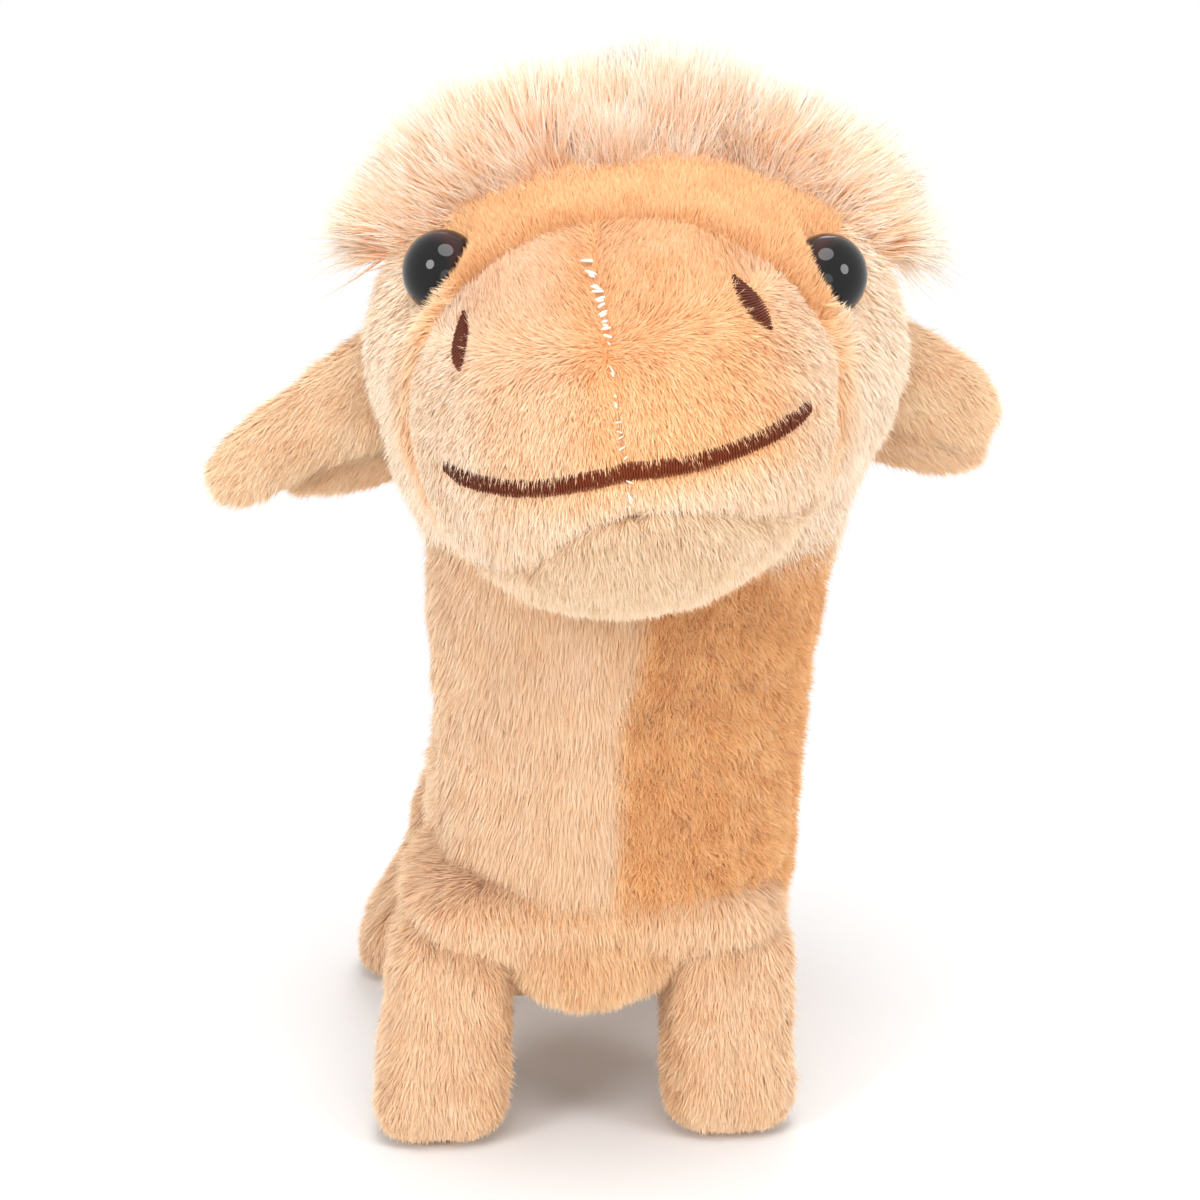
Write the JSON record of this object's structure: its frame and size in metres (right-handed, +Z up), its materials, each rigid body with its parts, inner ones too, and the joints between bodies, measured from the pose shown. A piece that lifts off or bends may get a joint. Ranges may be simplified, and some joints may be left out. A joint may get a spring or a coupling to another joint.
{
  "type": "interactive plush camel",
  "caption": "Stuffed walking camel with jointed legs, a swaying neck and a level head, driven by a motor, cranks and gears inside.",
  "frame": {"origin": "on the floor, below the middle of the outline seen from above", "axes": "+Z up, the camel faces -Y, its left side is +X"},
  "size_m": [0.1992, 0.2494, 0.2754],
  "materials": {
    "peach_plush": "short cut pile, peach",
    "pale_plush": "short cut pile, pale peach",
    "cream_plush": "short cut pile, cream",
    "long_pile": "long shaggy pile, pale cream",
    "eye_gloss": "polished black-brown dome",
    "chassis_plastic": "moulded",
    "door_plastic": "fine moulded grain",
    "nylon": "moulded nylon",
    "steel": "bright",
    "cell_wrap": "plain printed sleeve",
    "board_green": "solder mask",
    "black_plastic": "moulded"
  },
  "bodies": {
    "body": {"trunk_plush": "pale_plush", "chest_plush": "pale_plush", "front_hump": "peach_plush", "front_hump_tuft": "long_pile", "rear_hump": "peach_plush", "rear_hump_tuft": "long_pile", "tail": "pale_plush", "tail_tuft": "long_pile", "chassis_lower": "chassis_plastic", "chassis_upper": "chassis_plastic", "gearbox_plate": "chassis_plastic", "gear_axle_1": "steel", "gear_axle_2": "steel", "front_hip_axle": "steel", "hind_hip_axle": "steel", "motor": "steel", "speaker": "black_plastic", "circuit_board": "board_green", "switch_housing": "black_plastic", "battery_1": "cell_wrap", "battery_2": "cell_wrap", "battery_3": "cell_wrap", "front_contact": "steel", "rear_contact": "steel"},
    "crank": {"crankshaft": "nylon", "drive_gear": "nylon"},
    "second_gear": {"compound_gear_2": "nylon"},
    "first_gear": {"compound_gear_1": "nylon"},
    "pinion": {"motor_pinion": "nylon"},
    "left_rod": {"left_link_rod": "nylon"},
    "right_rod": {"right_link_rod": "nylon"},
    "neck": {"neck_mast": "nylon", "head_pivot_pin": "steel", "neck_plush": "pale_plush"},
    "head": {"head_frame": "nylon", "head_plush": "pale_plush", "muzzle": "peach_plush", "chin_panel": "cream_plush", "left_eye": "eye_gloss", "right_eye": "eye_gloss", "left_ear": "pale_plush", "right_ear": "pale_plush", "mane": "long_pile"},
    "door": {"battery_door": "door_plastic", "battery_door_screw": "steel"},
    "switch_knob": {"switch_slider": "black_plastic"},
    "left_front_leg": {"left_front_leg_frame": "nylon", "left_front_leg_plush": "pale_plush", "left_front_sole": "cream_plush"},
    "left_hind_leg": {"left_hind_leg_frame": "nylon", "left_hind_leg_plush": "pale_plush", "left_hind_sole": "cream_plush"},
    "right_front_leg": {"right_front_leg_frame": "nylon", "right_front_leg_plush": "pale_plush", "right_front_sole": "cream_plush"},
    "right_hind_leg": {"right_hind_leg_frame": "nylon", "right_hind_leg_plush": "pale_plush", "right_hind_sole": "cream_plush"}
  },
  "joints": [
    {"name": "left_front_leg_swing", "type": "hinge", "parent": "body", "child": "left_front_leg", "pos_m": [-0.00636, -0.03282, 0.048], "axis": [1, 0, 0], "range_deg": [-12, 12]},
    {"name": "left_hind_leg_swing", "type": "hinge", "parent": "body", "child": "left_hind_leg", "pos_m": [-0.00636, 0.07718, 0.048], "axis": [1, 0, 0], "range_deg": [-12, 12]},
    {"name": "right_front_leg_swing", "type": "hinge", "parent": "body", "child": "right_front_leg", "pos_m": [-0.00636, -0.03282, 0.048], "axis": [1, 0, 0], "range_deg": [-12, 12]},
    {"name": "right_hind_leg_swing", "type": "hinge", "parent": "body", "child": "right_hind_leg", "pos_m": [-0.00636, 0.07718, 0.048], "axis": [1, 0, 0], "range_deg": [-12, 12]},
    {"name": "left_rod_turn", "type": "hinge", "parent": "left_front_leg", "child": "left_rod", "pos_m": [0.01544, -0.03282, 0.062], "axis": [1, 0, 0], "range_deg": [-12, 12]},
    {"name": "right_rod_turn", "type": "hinge", "parent": "right_front_leg", "child": "right_rod", "pos_m": [-0.02816, -0.03282, 0.062], "axis": [1, 0, 0], "range_deg": [-12, 12]},
    {"name": "neck_sway", "type": "hinge", "parent": "body", "child": "neck", "pos_m": [-0.00636, -0.02082, 0.062], "axis": [0, 1, 0], "range_deg": [-18.5, 5.5]},
    {"name": "head_level", "type": "hinge", "parent": "neck", "child": "head", "pos_m": [0.00496, -0.02082, 0.16136], "axis": [0, 1, 0], "range_deg": [-5.5, 18.5]},
    {"name": "crank_turn", "type": "hinge", "parent": "body", "child": "crank", "pos_m": [-0.00636, 0.02718, 0.062], "axis": [1, 0, 0], "continuous": true},
    {"name": "second_gear_turn", "type": "hinge", "parent": "body", "child": "second_gear", "pos_m": [-0.00636, 0.04092, 0.07], "axis": [1, 0, 0], "continuous": true},
    {"name": "first_gear_turn", "type": "hinge", "parent": "body", "child": "first_gear", "pos_m": [-0.00636, 0.05466, 0.062], "axis": [1, 0, 0], "continuous": true},
    {"name": "pinion_turn", "type": "hinge", "parent": "body", "child": "pinion", "pos_m": [-0.00636, 0.0684, 0.07], "axis": [1, 0, 0], "continuous": true},
    {"name": "switch_slide", "type": "slide", "parent": "body", "child": "switch_knob", "axis": [0, 1, 0], "range_m": [0, 0.003]},
    {"name": "door_lift", "type": "slide", "parent": "body", "child": "door", "axis": [0, 0, -1], "range_m": [0, 0.012]}
  ],
  "couplings": [
    {"joint": "left_hind_leg_swing", "follows": "left_front_leg_swing", "ratio": 1},
    {"joint": "right_front_leg_swing", "follows": "left_front_leg_swing", "ratio": -1},
    {"joint": "right_hind_leg_swing", "follows": "left_front_leg_swing", "ratio": -1},
    {"joint": "left_rod_turn", "follows": "left_front_leg_swing", "ratio": -1},
    {"joint": "right_rod_turn", "follows": "left_front_leg_swing", "ratio": 1},
    {"joint": "head_level", "follows": "neck_sway", "ratio": -1},
    {"joint": "first_gear_turn", "follows": "pinion_turn", "ratio": -0.25},
    {"joint": "second_gear_turn", "follows": "pinion_turn", "ratio": 0.0625},
    {"joint": "crank_turn", "follows": "pinion_turn", "ratio": -0.015625}
  ]
}
